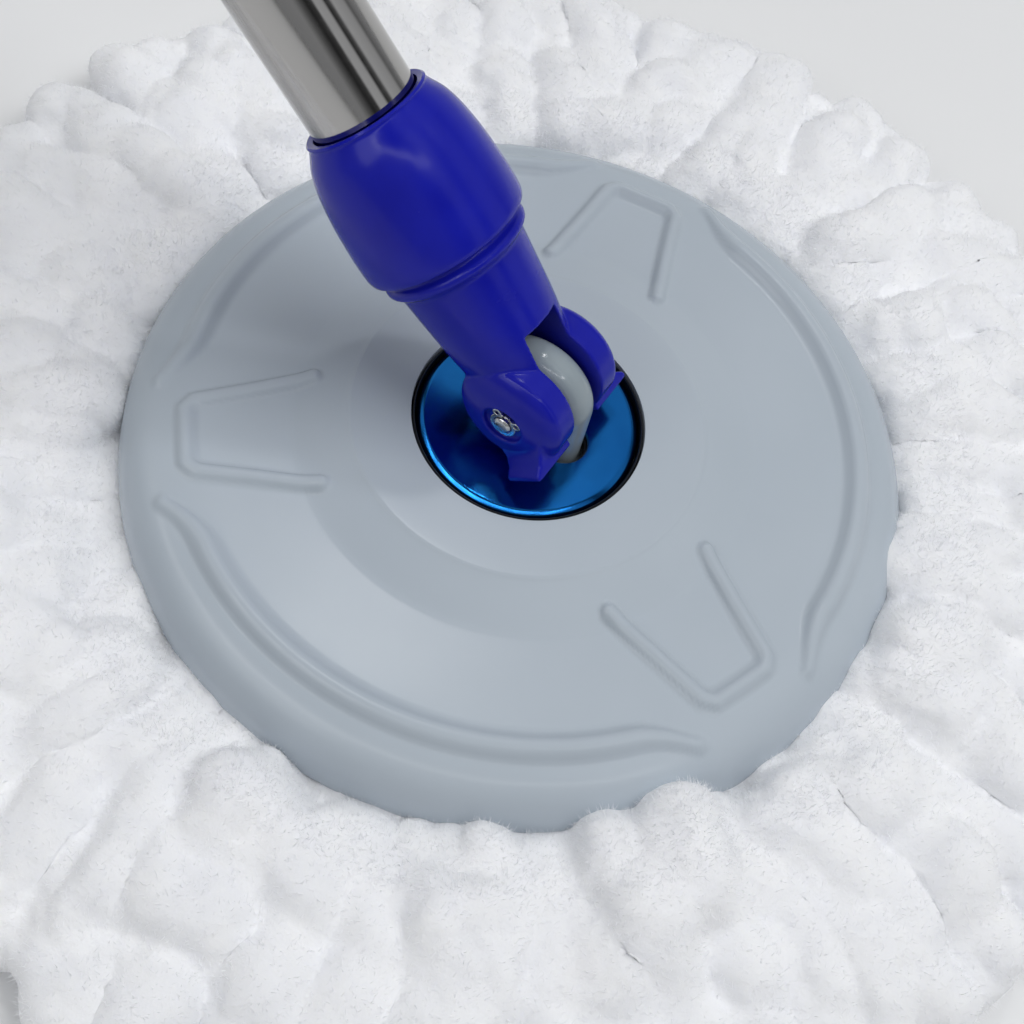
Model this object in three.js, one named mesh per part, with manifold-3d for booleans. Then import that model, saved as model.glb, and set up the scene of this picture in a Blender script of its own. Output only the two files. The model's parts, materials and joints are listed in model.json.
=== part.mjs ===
// Spin mop: a round head with a microfibre pad, a turning knuckle under a metal cover disc,
// a tilting fork, and a two-part telescopic pole with a twisted drive strip inside.
// Millimetres, +Z up. The origin is the middle of the pad's floor face, under the knuckle.
import * as THREE from "three";
import { ConvexGeometry } from "three/addons/geometries/ConvexGeometry.js";
import { mergeVertices } from "three/addons/utils/BufferGeometryUtils.js";
import Module from "manifold-3d";

const wasm = await Module();
wasm.setup();

// ---------------------------------------------------------------- driving dimensions
const FIT = 0.4; // gap kept between pieces that sit against each other

// head
const PLATE_R = 85.6; // plate, outside of its rim
const RIM_Z = 15; // lower edge of the plate's rim
const FLAT_Z = 30; // flat outer field of the plate
const PLATEAU_Z = 34; // raised middle of the plate
const PLATEAU_R = 38;
const SLOPE_R = 49.5; // foot of the slope around the plateau
const WALL = 2.6; // plate thickness
const HUB_R = 24.9; // hole in the middle of the plate
const BOSS_R = 31;
const BOSS_Z = 26;
const PAD_R = 160; // microfibre pad, strands spread on the floor
const PAD_UNDER_PLATE = 13.5;
const PAD_MIDDLE = 11;
const PAD_TOP = 26;

// swivel
const DISC_R = 23.7;
const DISC_Z = 33.3; // top of the cover disc
const DISC_T = 1;
const SLOT_HALF = 14; // slot for the knuckle, half its length
const SLOT_R = 5.5;
const LUG_R = 12.6; // rounded top of the knuckle's lug
const LUG_T = 9.2;
const LUG_ROUND = 4.2; // rounding of the lug's rim
const LUG_DROP = 2.2; // middle of the lug's round top below the pin
const TURNTABLE_R = 22;
const TURNTABLE_Z = 28.3; // underside of the turntable
const SPIGOT_R = 3.7;

// ball bearing, 8 x 22 x 7
const BEARING_Z = 19.3;
const BEARING_T = 7;
const PITCH_R = 7.5;
const BALL_R = 1.85;
const BALLS = 7;

// fork, along the pole's axis from the hinge pin
const PIN_Z = 47.4; // hinge pin above the floor
const LEAN = THREE.MathUtils.degToRad(46); // pole's lean from upright, towards -X
const LOBE_R = 12;
const LOBE_IN = 5.2; // inner face of each lobe from the middle
const LOBE_CROWN = 10.5; // where the lobe's crown starts
const LOBE_OUT = 14;
const RECESS_R = 4.6;
const RECESS_FLOOR = 12.4;
const CROTCH = 15;
const PIN_R = 2;
const NECK_R = 14.4;
const NECK_TOP = 51;
const SEAT = 41; // floor of the tube's seat

// pole
const TUBE_R = 11; // lower tube, 22 mm
const TUBE_WALL = 0.4;
const LOWER_TOP = 460;
const UPPER_R = 9.5; // upper tube, 19 mm
const UPPER_LOW = 110;
const UPPER_TOP = 840;
const SLEEVE_TOP = 66;
const SCREW_S = 57; // sleeve screw along the pole
const LEAD = 100; // twisted strip, length of one turn
const STRIP_STEP = 5; // length of one straight step of the strip
const STRIP_W = 6;
const STRIP_T = 1.2;
const STRIP_LOW = 45;
const STRIP_TOP = 440;
const NUT_Z = 112;
const COLLAR_LOW = 444;
const COLLAR_TOP = 520;
const LEVER_PIN = 508; // lock lever's pin along the pole
const LEVER_PIN_X = 18.2;
const GRIP_LOW = 715;
const GRIP_TOP = 836;
const EYE_Z = 857; // hanging eye

// ---------------------------------------------------------------- finishes
const paint = (color, roughness, metalness) =>
  new THREE.MeshStandardMaterial({ color, roughness, metalness });
const plateGrey = paint(0xa5aeb5, 0.4, 0);
const forkBlue = paint(0x2422a0, 0.28, 0);
const discBlue = paint(0x0f4ca8, 0.25, 0.9);
const knuckleGrey = paint(0x9aa3a3, 0.25, 0);
const blackPlastic = paint(0x15171a, 0.45, 0);
const steel = paint(0xc4c8cc, 0.2, 1);
const padWhite = paint(0xf2f3f6, 0.95, 0);
const ringWhite = paint(0xdfe3e6, 0.45, 0);
const gripGrey = paint(0x8f979c, 0.6, 0);

// ---------------------------------------------------------------- shape helpers
// A ring or round body about +Z from its section's [radius, height] points.
function turned(section, sides = 40, closed = true) {
  const points = section.map(([r, z]) => new THREE.Vector2(r, z));
  if (THREE.ShapeUtils.area(points) < 0) points.reverse();
  if (closed) points.push(points[0].clone());
  return new THREE.LatheGeometry(points, sides).rotateX(Math.PI / 2);
}

// A solid body about +Z: the section starts and ends on the axis.
const turnedSolid = (section, sides) => turned(section, sides, false);

const bar = (r, low, high, sides = 24) =>
  turnedSolid([[0, low], [r, low], [r, high], [0, high]], sides);

const pipe = (rOut, rIn, low, high, sides = 32) =>
  turned([[rIn, low], [rOut, low], [rOut, high], [rIn, high]], sides);

// Turns a body made about +Z so that its axis is +Y.
const alongY = (geometry) => geometry.rotateX(-Math.PI / 2);

const box = (x, y, z, at) => new THREE.BoxGeometry(x, y, z).translate(...at);

// A flat outline in XY, raised from one height to another.
const raised = (shape, low, high, curveSegments = 12) =>
  new THREE.ExtrudeGeometry(shape, {
    depth: high - low,
    bevelEnabled: false,
    curveSegments,
  }).translate(0, 0, low);

// An outline drawn in XZ, with the given thickness along Y about y = 0.
const slab = (shape, thickness, curveSegments = 12) =>
  new THREE.ExtrudeGeometry(shape, {
    depth: thickness,
    bevelEnabled: false,
    curveSegments,
  })
    .translate(0, 0, -thickness / 2)
    .rotateX(Math.PI / 2);

const polygon = (points) => new THREE.Shape(points.map(([x, y]) => new THREE.Vector2(x, y)));

function toSolid(geometry) {
  const bare = geometry.clone();
  bare.deleteAttribute("normal");
  bare.deleteAttribute("uv");
  const merged = mergeVertices(bare, 1e-4);
  return new wasm.Manifold(
    new wasm.Mesh({
      numProp: 3,
      vertProperties: merged.attributes.position.array,
      triVerts: new Uint32Array(merged.index.array),
    }),
  );
}

function toGeometry(solid) {
  const mesh = solid.getMesh();
  const geometry = new THREE.BufferGeometry();
  geometry.setAttribute("position", new THREE.BufferAttribute(mesh.vertProperties, 3));
  geometry.setIndex(new THREE.BufferAttribute(mesh.triVerts, 1));
  geometry.computeVertexNormals();
  return geometry;
}

const join = (first, ...others) =>
  toGeometry(others.reduce((sum, other) => sum.add(toSolid(other)), toSolid(first)));

const cut = (first, ...others) =>
  toGeometry(others.reduce((sum, other) => sum.subtract(toSolid(other)), toSolid(first)));

function place(group, name, geometry, material) {
  const mesh = new THREE.Mesh(geometry, material);
  mesh.name = name;
  group.add(mesh);
  return mesh;
}

const around = (count, start = 0) =>
  Array.from({ length: count }, (_, i) => start + (i * 2 * Math.PI) / count);

const polar = (r, angle) => [r * Math.cos(angle), r * Math.sin(angle)];

// ---------------------------------------------------------------- plate
const LOOP_TOP = FLAT_Z + 1.8;
const LOOP_WIDTH = 3.8;
const ARC_TOP = FLAT_Z + 2.2;
const ARC_R = 72.7;
const ARC_WIDTH = 4.8;
const ARC_SPAN = THREE.MathUtils.degToRad(49);
const RIB_FOOT = FLAT_Z - 1.5;
const FIRST_LOOP = THREE.MathUtils.degToRad(-19.5);
const FIRST_ARC = THREE.MathUtils.degToRad(40.5);
const SCREW_R = 28;

function plateDish() {
  return turned(
    [
      [HUB_R, BOSS_Z],
      [BOSS_R, BOSS_Z],
      [BOSS_R, PLATEAU_Z - WALL],
      [PLATEAU_R + 0.5, PLATEAU_Z - WALL],
      [SLOPE_R - 2, FLAT_Z - WALL + 0.6],
      [SLOPE_R + 1, FLAT_Z - WALL],
      [70, FLAT_Z - WALL - 0.2],
      [76, 26.7],
      [80.4, 24.2],
      [82.3, 20.5],
      [PLATE_R - WALL, RIM_Z],
      [PLATE_R, RIM_Z],
      [PLATE_R - 0.2, 18],
      [84.6, 22],
      [82.6, 25.6],
      [79.6, 28],
      [76, 29.2],
      [70, FLAT_Z],
      [SLOPE_R + 1, FLAT_Z + 0.3],
      [SLOPE_R - 1.5, FLAT_Z + 1],
      [PLATEAU_R + 1, PLATEAU_Z - 0.3],
      [PLATEAU_R - 1, PLATEAU_Z],
      [HUB_R, PLATEAU_Z],
    ],
    48,
  );
}

// An open loop of two legs and a short bridge, pointing outwards at the given angle.
function loopRib(angle) {
  const at = (r, degrees) => polar(r, angle + THREE.MathUtils.degToRad(degrees));
  const route = [at(47, 16), at(71, 6.2), at(71, -6.2), at(47, -16)];
  const posts = route.map(([x, y]) => bar(LOOP_WIDTH / 2, RIB_FOOT, LOOP_TOP, 8).translate(x, y, 0));
  const walls = route.slice(1).map(([x, y], i) => {
    const [x0, y0] = route[i];
    const length = Math.hypot(x - x0, y - y0);
    return box(length, LOOP_WIDTH, LOOP_TOP - RIB_FOOT, [0, 0, (LOOP_TOP + RIB_FOOT) / 2])
      .rotateZ(Math.atan2(y - y0, x - x0))
      .translate((x + x0) / 2, (y + y0) / 2, 0);
  });
  return [...posts, ...walls];
}

// A long rib that follows the plate's edge and turns outwards at both ends.
function arcRib(angle) {
  const steps = 14;
  const side = (offset) =>
    Array.from({ length: steps + 1 }, (_, i) => {
      const t = (2 * i) / steps - 1;
      const flare = 5 * Math.max(0, (Math.abs(t) - 0.8) / 0.2) ** 2;
      const taper = 1 - 0.5 * Math.max(0, (Math.abs(t) - 0.8) / 0.2);
      return polar(ARC_R + flare + offset * taper, angle + t * ARC_SPAN);
    });
  const outline = [...side(-ARC_WIDTH / 2), ...side(ARC_WIDTH / 2).reverse()];
  return raised(polygon(outline), RIB_FOOT - 2, ARC_TOP);
}

function mopPlate() {
  const ribs = around(3, FIRST_LOOP).flatMap(loopRib);
  const arcs = around(3, FIRST_ARC).map(arcRib);
  const ribbed = join(plateDish(), ...ribs, ...arcs);
  const screwHoles = around(4, Math.PI / 4).map((angle) => {
    const [x, y] = polar(SCREW_R, angle);
    return bar(1.6, BOSS_Z - 1, 31, 8).translate(x, y, 0);
  });
  return cut(ribbed, ...screwHoles);
}

// ---------------------------------------------------------------- pad and its ring
function mopPad() {
  const gap = PLATE_R + 2;
  return turnedSolid(
    [
      [0, 0],
      [152, 0],
      [158, 3],
      [PAD_R, 7],
      [157, 11],
      [146, 15],
      [126, 21],
      [110, 25],
      [98, PAD_TOP],
      [90.5, 24.5],
      [gap, 20],
      [gap, PAD_UNDER_PLATE],
      [60, PAD_UNDER_PLATE],
      [56, PAD_MIDDLE],
      [0, PAD_MIDDLE],
    ],
    36,
  );
}

// The ring that the strands are sewn to; it snaps up inside the plate's rim.
function padRing() {
  return turned(
    [
      [66, PAD_UNDER_PLATE + FIT],
      [81, PAD_UNDER_PLATE + FIT],
      [81.3, 16],
      [80.6, 17.6],
      [78, 18.4],
      [69, 18.4],
      [66, 17],
    ],
    36,
  );
}

// ---------------------------------------------------------------- middle of the head
// Black liner around the cover disc; its inner ledge carries the turntable.
function linerRing() {
  return turned(
    [
      [17, 26.4],
      [HUB_R - FIT, 26.4],
      [HUB_R - FIT, 33.4],
      [HUB_R - 0.6, 33.7],
      [DISC_R + 0.4, 33.4],
      [DISC_R + 0.4, 27.9],
      [17, 27.9],
    ],
    40,
  );
}

const HOUSING_TOP = BOSS_Z - FIT;

// Cup under the plate that holds the ball bearing.
function bearingHousing() {
  const cup = turned(
    [
      [8.6, 14],
      [13.6, 14],
      [14, HOUSING_TOP - 2.6],
      [BOSS_R, HOUSING_TOP - 2.6],
      [BOSS_R, HOUSING_TOP],
      [11.4, HOUSING_TOP],
      [11.4, 15.2],
      [8.6, 15.2],
    ],
    28,
  );
  const holes = around(4, Math.PI / 4).map((angle) => {
    const [x, y] = polar(SCREW_R, angle);
    return bar(1.7, 20, 27, 8).translate(x, y, 0);
  });
  return cut(cup, ...holes);
}

function housingScrew(angle) {
  const [x, y] = polar(SCREW_R, angle);
  const head = HOUSING_TOP - 2.6 - 0.3;
  const section = [[0, head - 1.5], [2.3, head - 1.5], [2.6, head], [1.25, head], [1.25, 30], [0, 30.6]];
  return turnedSolid(section, 10).translate(x, y, 0);
}

const raceSection = (inner, outer, ballSide) => {
  const low = BEARING_Z - BEARING_T / 2;
  const high = BEARING_Z + BEARING_T / 2;
  const away = ballSide === outer ? inner : outer;
  const floor = ballSide === outer ? PITCH_R - BALL_R - 0.2 : PITCH_R + BALL_R + 0.2;
  return [
    [away, low],
    [ballSide, low],
    [ballSide, BEARING_Z - 1.5],
    [floor, BEARING_Z - 0.7],
    [floor, BEARING_Z + 0.7],
    [ballSide, BEARING_Z + 1.5],
    [ballSide, high],
    [away, high],
  ];
};

const bearingBall = (angle) =>
  new THREE.SphereGeometry(BALL_R, 8, 6)
    .rotateX(Math.PI / 2)
    .translate(...polar(PITCH_R, angle), BEARING_Z);

function ballCage() {
  const ring = pipe(PITCH_R + 0.55, PITCH_R - 0.55, BEARING_Z - 2.5, BEARING_Z - 0.1, 21);
  const pockets = around(BALLS).map((angle) =>
    new THREE.SphereGeometry(BALL_R + 0.35, 8, 6)
      .rotateX(Math.PI / 2)
      .translate(...polar(PITCH_R, angle), BEARING_Z),
  );
  return cut(ring, ...pockets);
}

// ---------------------------------------------------------------- swivel
function slotOutline(half, r) {
  const shape = new THREE.Shape();
  shape.absarc(half - r, 0, r, -Math.PI / 2, Math.PI / 2);
  shape.absarc(-half + r, 0, r, Math.PI / 2, (3 * Math.PI) / 2);
  return shape;
}

// Anodised cap over the turntable, with a slot that the lug stands in.
function coverDisc() {
  const cap = turnedSolid(
    [
      [0, DISC_Z - DISC_T],
      [DISC_R - 0.8, DISC_Z - DISC_T],
      [DISC_R - 0.8, 29],
      [DISC_R, 29],
      [DISC_R, DISC_Z - 0.9],
      [DISC_R - 0.5, DISC_Z - 0.25],
      [DISC_R - 1.3, DISC_Z],
      [0, DISC_Z],
    ],
    40,
  );
  return cut(cap, raised(slotOutline(SLOT_HALF, SLOT_R), 20, 40, 10));
}

// Black plate under the cover disc; the lug stands in its slot.
function turntable() {
  const plate = turnedSolid(
    [
      [0, TURNTABLE_Z],
      [TURNTABLE_R, TURNTABLE_Z],
      [TURNTABLE_R, DISC_Z - DISC_T - FIT],
      [0, DISC_Z - DISC_T - FIT],
    ],
    32,
  );
  const slot = slotOutline(LUG_R + 1, LUG_T / 2 + 0.6);
  return cut(plate, raised(slot, 20, 40, 8));
}

// Lug with a round top for the hinge pin, on a flange with a spigot for the bearing.
function knuckle() {
  const flangeTop = TURNTABLE_Z - FIT;
  const lugShape = new THREE.Shape();
  lugShape.moveTo(-LUG_R, flangeTop - 1);
  lugShape.lineTo(LUG_R, flangeTop - 1);
  lugShape.lineTo(LUG_R, PIN_Z - LUG_DROP);
  lugShape.absarc(0, PIN_Z - LUG_DROP, LUG_R, 0, Math.PI);
  const lug = new THREE.ExtrudeGeometry(lugShape, {
    depth: LUG_T - 2 * LUG_ROUND,
    bevelSize: LUG_ROUND,
    bevelOffset: -LUG_ROUND,
    bevelThickness: LUG_ROUND,
    bevelSegments: 3,
    curveSegments: 12,
  })
    .translate(0, 0, -LUG_T / 2 + LUG_ROUND)
    .rotateX(Math.PI / 2);
  const root = box(2 * LUG_R - 4, LUG_T - 2, 6, [0, 0, flangeTop + 2]);
  const base = turnedSolid(
    [
      [0, 15.8],
      [SPIGOT_R, 15.8],
      [SPIGOT_R, 23.2],
      [6.2, 23.2],
      [6.2, 26],
      [16.4, 26],
      [16.4, flangeTop],
      [0, flangeTop],
    ],
    28,
  );
  const pinHole = alongY(bar(PIN_R + 0.35, -20, 20, 16)).translate(0, 0, PIN_Z);
  const screwHole = bar(1.8, 14, 25, 12);
  return cut(join(base, root, lug), pinHole, screwHole);
}

const retainingWasher = () => pipe(5.9, 1.9, 14.4, 15.4, 24);

const retainingScrew = () =>
  turnedSolid([[0, 12.2], [3.4, 12.2], [4, 14], [1.5, 14], [1.5, 24], [0, 24.8]], 16);

// ---------------------------------------------------------------- fork and its hardware
// One round lobe beside the knuckle; the other one is made by turning it half round.
function lobe() {
  const steps = 5;
  const crown = Array.from({ length: steps + 1 }, (_, i) => {
    const r = LOBE_R * Math.cos((i * Math.PI) / (2 * steps));
    const bulge = (1 - (r / LOBE_R) ** 3) ** 0.6;
    return [i === steps ? 0 : r, LOBE_CROWN + (LOBE_OUT - LOBE_CROWN) * bulge];
  });
  return alongY(turnedSolid([[0, LOBE_IN], [LOBE_R, LOBE_IN], ...crown], 28));
}

// Wedge under a lobe: it narrows downwards and flares outwards just above the cover disc.
function foot() {
  const oneSide = [
    [5, 16.5, -12.6],
    [5, 16.5, -11.2],
    [5, LOBE_IN, -12.6],
    [10.5, LOBE_IN, -6.5],
    [10.5, 10, -6.5],
    [4.5, 12.8, -5],
  ];
  const points = oneSide.flatMap(([x, y, s]) => [
    new THREE.Vector3(x, y, s),
    new THREE.Vector3(-x, y, s),
  ]);
  return new ConvexGeometry(points);
}

const socketSection = [
  [0, 3],
  [11.4, 3],
  [12.2, 13],
  [12.5, 16],
  [13.9, 33.2],
  [14.8, 33.8],
  [15.5, 34.6],
  [15.5, 35.4],
  [14.9, 36.1],
  [NECK_R, 36.4],
  [NECK_R, NECK_TOP],
  [TUBE_R + FIT, NECK_TOP],
  [TUBE_R + FIT, SEAT],
  [0, SEAT],
];

function fork() {
  const halfTurn = (geometry) => geometry.rotateZ(Math.PI);
  const body = join(turnedSolid(socketSection, 32), lobe(), halfTurn(lobe()), foot(), halfTurn(foot()));
  const between = box(60, 2 * LOBE_IN, 60, [0, 0, CROTCH - 30]);
  const hollow = bar(7.5, CROTCH - 0.1, SEAT - 3, 20);
  const pinHole = alongY(bar(PIN_R + 0.35, -20, 20, 16));
  const recess = alongY(bar(RECESS_R, RECESS_FLOOR, 20, 20));
  const nearRecess = halfTurn(recess.clone());
  return cut(body, between, hollow, pinHole, recess, nearRecess);
}

// Pin with its head in the far lobe's recess; the circlip holds its chamfered near end.
const hingePin = () =>
  alongY(
    turnedSolid(
      [
        [0, -14.1],
        [1.5, -14.1],
        [PIN_R, -13.7],
        [PIN_R, RECESS_FLOOR + 0.3],
        [3.6, RECESS_FLOOR + 0.3],
        [3.6, 13.7],
        [2.8, 14.3],
        [0, 14.4],
      ],
      20,
    ),
  );

// External circlip: a ring with a pierced ear on each side of its gap.
function circlip() {
  const low = -RECESS_FLOOR - 1;
  const high = -RECESS_FLOOR - 0.3;
  const middle = THREE.MathUtils.degToRad(32);
  const earAngle = THREE.MathUtils.degToRad(46);
  const ears = [-earAngle, earAngle].map((turn) => polar(3.35, -middle + turn));
  const lobes = ears.map(([x, y]) => bar(1, low, high, 12).translate(x, y, 0));
  const holes = ears.map(([x, y]) => bar(0.45, low - 1, high + 1, 8).translate(x, y, 0));
  const gap = box(3, 2, 3, [3.2, 0, (low + high) / 2]).rotateZ(-middle);
  const ring = join(bar(3, low, high, 24), ...lobes);
  return alongY(cut(ring, bar(PIN_R + 0.15, low - 1, high + 1, 16), gap, ...holes));
}

// Barrel-shaped sleeve that screws over the fork's neck and grips the lower tube.
function sleeve() {
  const low = 37;
  const outer = [
    [16.8, low],
    [17.4, low + 0.8],
    [17.5, 43],
    [17.1, 50],
    [16.3, 56],
    [15.1, 60.6],
    [13.3, 64.2],
    [12.8, 65.2],
    [13, SLEEVE_TOP - 0.4],
    [12.6, SLEEVE_TOP],
  ];
  const inner = [
    [TUBE_R + FIT, SLEEVE_TOP - 0.4],
    [TUBE_R + FIT, NECK_TOP + 1],
    [NECK_R + FIT, NECK_TOP + 1],
    [NECK_R + FIT, low],
  ];
  const screwHole = bar(3.2, 13.4, 20, 14).rotateY(-Math.PI / 2);
  const shankHole = bar(1.7, 10, 20, 12).rotateY(-Math.PI / 2);
  return cut(
    turned([...outer, ...inner], 36),
    screwHole.translate(0, 0, SCREW_S),
    shankHole.translate(0, 0, SCREW_S),
  );
}

// Self-tapping screw on the underside of the sleeve, through the tube into the strip's anchor.
const sleeveScrew = () =>
  turnedSolid([[0, 5], [1.2, 6], [1.2, 13.8], [2.6, 13.8], [2.6, 15], [1.8, 15.6], [0, 15.7]], 14)
    .rotateY(-Math.PI / 2)
    .translate(0, 0, SCREW_S);

// ---------------------------------------------------------------- pole
function lowerTube() {
  const hole = bar(1.6, 8, 14, 12).rotateY(-Math.PI / 2).translate(0, 0, SCREW_S);
  return cut(pipe(TUBE_R, TUBE_R - TUBE_WALL, SEAT + FIT, LOWER_TOP, 36), hole);
}

// Flat strip twisted about the pole's axis; grow widens it all round for its clearance holes.
function twistedStrip(low, high, grow = 0) {
  const steps = (high - low) / STRIP_STEP;
  const strip = new THREE.BoxGeometry(STRIP_W + 2 * grow, STRIP_T + 2 * grow, high - low, 2, 1, steps);
  strip.translate(0, 0, (high + low) / 2);
  const point = strip.attributes.position;
  const corner = new THREE.Vector3();
  const axis = new THREE.Vector3(0, 0, 1);
  for (let i = 0; i < point.count; i++) {
    corner.fromBufferAttribute(point, i);
    corner.applyAxisAngle(axis, (corner.z * 2 * Math.PI) / LEAD);
    point.setXYZ(i, corner.x, corner.y, corner.z);
  }
  return strip;
}

// Plug in the foot of the lower tube; the twisted strip is fixed in it.
function stripAnchor() {
  const plug = bar(TUBE_R - TUBE_WALL - FIT, 43, 64, 24);
  const screwHole = bar(1.5, 4.6, 14, 10).rotateY(-Math.PI / 2).translate(0, 0, SCREW_S);
  return cut(plug, twistedStrip(STRIP_LOW - STRIP_STEP, 70, 0.4), screwHole);
}

const BODY_IN = UPPER_R - TUBE_WALL - FIT;

// Nut in the foot of the upper tube; it runs on the twisted strip.
function driveNut() {
  const nut = turnedSolid(
    [
      [0, NUT_Z],
      [BODY_IN, NUT_Z],
      [BODY_IN, NUT_Z + 14],
      [0, NUT_Z + 14],
    ],
    24,
  );
  const relief = bar(5.2, NUT_Z + 3, NUT_Z + 20, 20);
  return cut(nut, relief, twistedStrip(NUT_Z - 2, NUT_Z + 8, 0.5));
}

// Collar that turns on the lower tube's top and guides the upper tube.
function guideCollar() {
  const tubeBore = TUBE_R + FIT;
  const upperBore = UPPER_R + FIT;
  const ring = turned(
    [
      [tubeBore, COLLAR_LOW],
      [14.6, COLLAR_LOW],
      [16.2, COLLAR_LOW + 3],
      [16.8, 470],
      [16.2, 500],
      [14.2, 516],
      [12.6, COLLAR_TOP],
      [upperBore, COLLAR_TOP],
      [upperBore, LOWER_TOP + 1],
      [tubeBore, LOWER_TOP + 1],
      [tubeBore, 453],
      [12.9, 453],
      [12.9, 449.4],
      [tubeBore, 449.4],
    ],
    28,
  );
  const ear = (y) => {
    const shape = new THREE.Shape();
    shape.moveTo(12, LEVER_PIN + 5);
    shape.lineTo(12, LEVER_PIN - 10);
    shape.lineTo(15, LEVER_PIN - 10);
    shape.lineTo(LEVER_PIN_X + 3.6, LEVER_PIN);
    shape.absarc(LEVER_PIN_X, LEVER_PIN, 3.6, 0, Math.PI / 2);
    return slab(shape, 2.4, 6).translate(0, y, 0);
  };
  const pocket = box(12, 10.8, 50, [19, 0, LEVER_PIN - 18]);
  const pinHole = alongY(bar(1.55, -9, 9, 10)).translate(LEVER_PIN_X, 0, LEVER_PIN);
  return cut(join(cut(ring, pocket), ear(6.6), ear(-6.6)), pinHole);
}

const snapRing = () => pipe(12.6, TUBE_R + 0.3, 450.2, 452, 28);

// Clamp lever: a cam at its pin, and a tongue that lies along the collar.
function lockLever() {
  const shape = new THREE.Shape();
  shape.moveTo(LEVER_PIN_X + 3.2, LEVER_PIN);
  shape.absarc(LEVER_PIN_X, LEVER_PIN, 3.2, 0, Math.PI);
  shape.lineTo(LEVER_PIN_X - 3.2, LEVER_PIN - 3);
  shape.lineTo(LEVER_PIN_X - 1.2, LEVER_PIN - 8);
  shape.lineTo(LEVER_PIN_X - 0.6, LEVER_PIN - 36);
  shape.lineTo(LEVER_PIN_X + 3.4, LEVER_PIN - 41);
  shape.lineTo(LEVER_PIN_X + 4.4, LEVER_PIN - 38);
  shape.lineTo(LEVER_PIN_X + 2.6, LEVER_PIN - 24);
  const hole = alongY(bar(1.55, -9, 9, 10)).translate(LEVER_PIN_X, 0, LEVER_PIN);
  return cut(slab(shape, 9.8, 8), hole);
}

const leverPin = () => alongY(bar(1.2, -7.9, 7.9, 12)).translate(LEVER_PIN_X, 0, LEVER_PIN);

const upperTube = () => pipe(UPPER_R, UPPER_R - TUBE_WALL, UPPER_LOW, UPPER_TOP, 32);

function grip() {
  const groove = (z) => [[13, z], [12.2, z + 1], [12.2, z + 3], [13, z + 4]];
  const grooves = [744, 772, 800].flatMap(groove);
  const bore = UPPER_R + FIT;
  return turned(
    [
      [bore, GRIP_LOW],
      [11.4, GRIP_LOW],
      [13, GRIP_LOW + 4],
      ...grooves,
      [13, GRIP_TOP],
      [bore, GRIP_TOP],
    ],
    28,
  );
}

// Cap on the pole's top with a plug inside the tube and a hanging eye.
function endCap() {
  const body = turnedSolid(
    [
      [0, 822],
      [BODY_IN, 822],
      [BODY_IN, UPPER_TOP + FIT],
      [13, UPPER_TOP + FIT],
      [13, UPPER_TOP + 5],
      [10.5, UPPER_TOP + 9],
      [0, UPPER_TOP + 9.5],
    ],
    32,
  );
  const eye = new THREE.Shape();
  eye.absarc(0, EYE_Z, 12, -Math.PI / 4, (5 * Math.PI) / 4);
  eye.lineTo(-8.5, UPPER_TOP + 6);
  eye.lineTo(8.5, UPPER_TOP + 6);
  const hole = alongY(bar(6.2, -9, 9, 20)).translate(0, 0, EYE_Z + 1);
  return cut(join(body, slab(eye, 7, 14)), hole);
}

// ---------------------------------------------------------------- assembly
const mop = new THREE.Group();

const head = new THREE.Group();
place(head, "mop_plate", mopPlate(), plateGrey);
place(head, "mop_pad", mopPad(), padWhite);
place(head, "pad_ring", padRing(), ringWhite);
place(head, "liner_ring", linerRing(), blackPlastic);
place(head, "bearing_housing", bearingHousing(), blackPlastic);
around(4, Math.PI / 4).forEach((angle, i) =>
  place(head, `housing_screw_${i + 1}`, housingScrew(angle), steel),
);
place(head, "bearing_outer_race", turned(raceSection(9.1, 11, 9.1), 24), steel);
place(head, "ball_cage", ballCage(), steel);
around(BALLS).forEach((angle, i) => place(head, `bearing_ball_${i + 1}`, bearingBall(angle), steel));

const swivel = new THREE.Group();
place(swivel, "cover_disc", coverDisc(), discBlue);
place(swivel, "turntable", turntable(), blackPlastic);
place(swivel, "knuckle", knuckle(), knuckleGrey);
place(swivel, "bearing_inner_race", turned(raceSection(4.1, 5.9, 5.9), 20), steel);
place(swivel, "retaining_washer", retainingWasher(), steel);
place(swivel, "retaining_screw", retainingScrew(), steel);

const handle = new THREE.Group();
handle.position.set(0, 0, PIN_Z);
handle.rotation.y = -LEAN;
place(handle, "fork", fork(), forkBlue);
place(handle, "hinge_pin", hingePin(), steel);
place(handle, "circlip", circlip(), steel);
place(handle, "sleeve", sleeve(), forkBlue);
place(handle, "sleeve_screw", sleeveScrew(), steel);
place(handle, "lower_tube", lowerTube(), steel);
place(handle, "strip_anchor", stripAnchor(), blackPlastic);
place(handle, "twisted_strip", twistedStrip(STRIP_LOW, STRIP_TOP), steel);
place(handle, "snap_ring", snapRing(), steel);

const guide = new THREE.Group();
place(guide, "guide_collar", guideCollar(), forkBlue);
place(guide, "lever_pin", leverPin(), steel);
place(guide, "lock_lever", lockLever(), gripGrey);

const upper = new THREE.Group();
place(upper, "upper_tube", upperTube(), steel);
place(upper, "drive_nut", driveNut(), blackPlastic);
place(upper, "grip", grip(), gripGrey);
place(upper, "end_cap", endCap(), forkBlue);

handle.add(guide, upper);
mop.add(head, swivel, handle);

export default mop;
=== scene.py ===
"""Looks of the spin mop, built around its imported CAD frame. Metres, +Z up, floor at zero."""

import json
import math
import random

import bpy
import numpy as np
from mathutils import Matrix, Vector, noise


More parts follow.
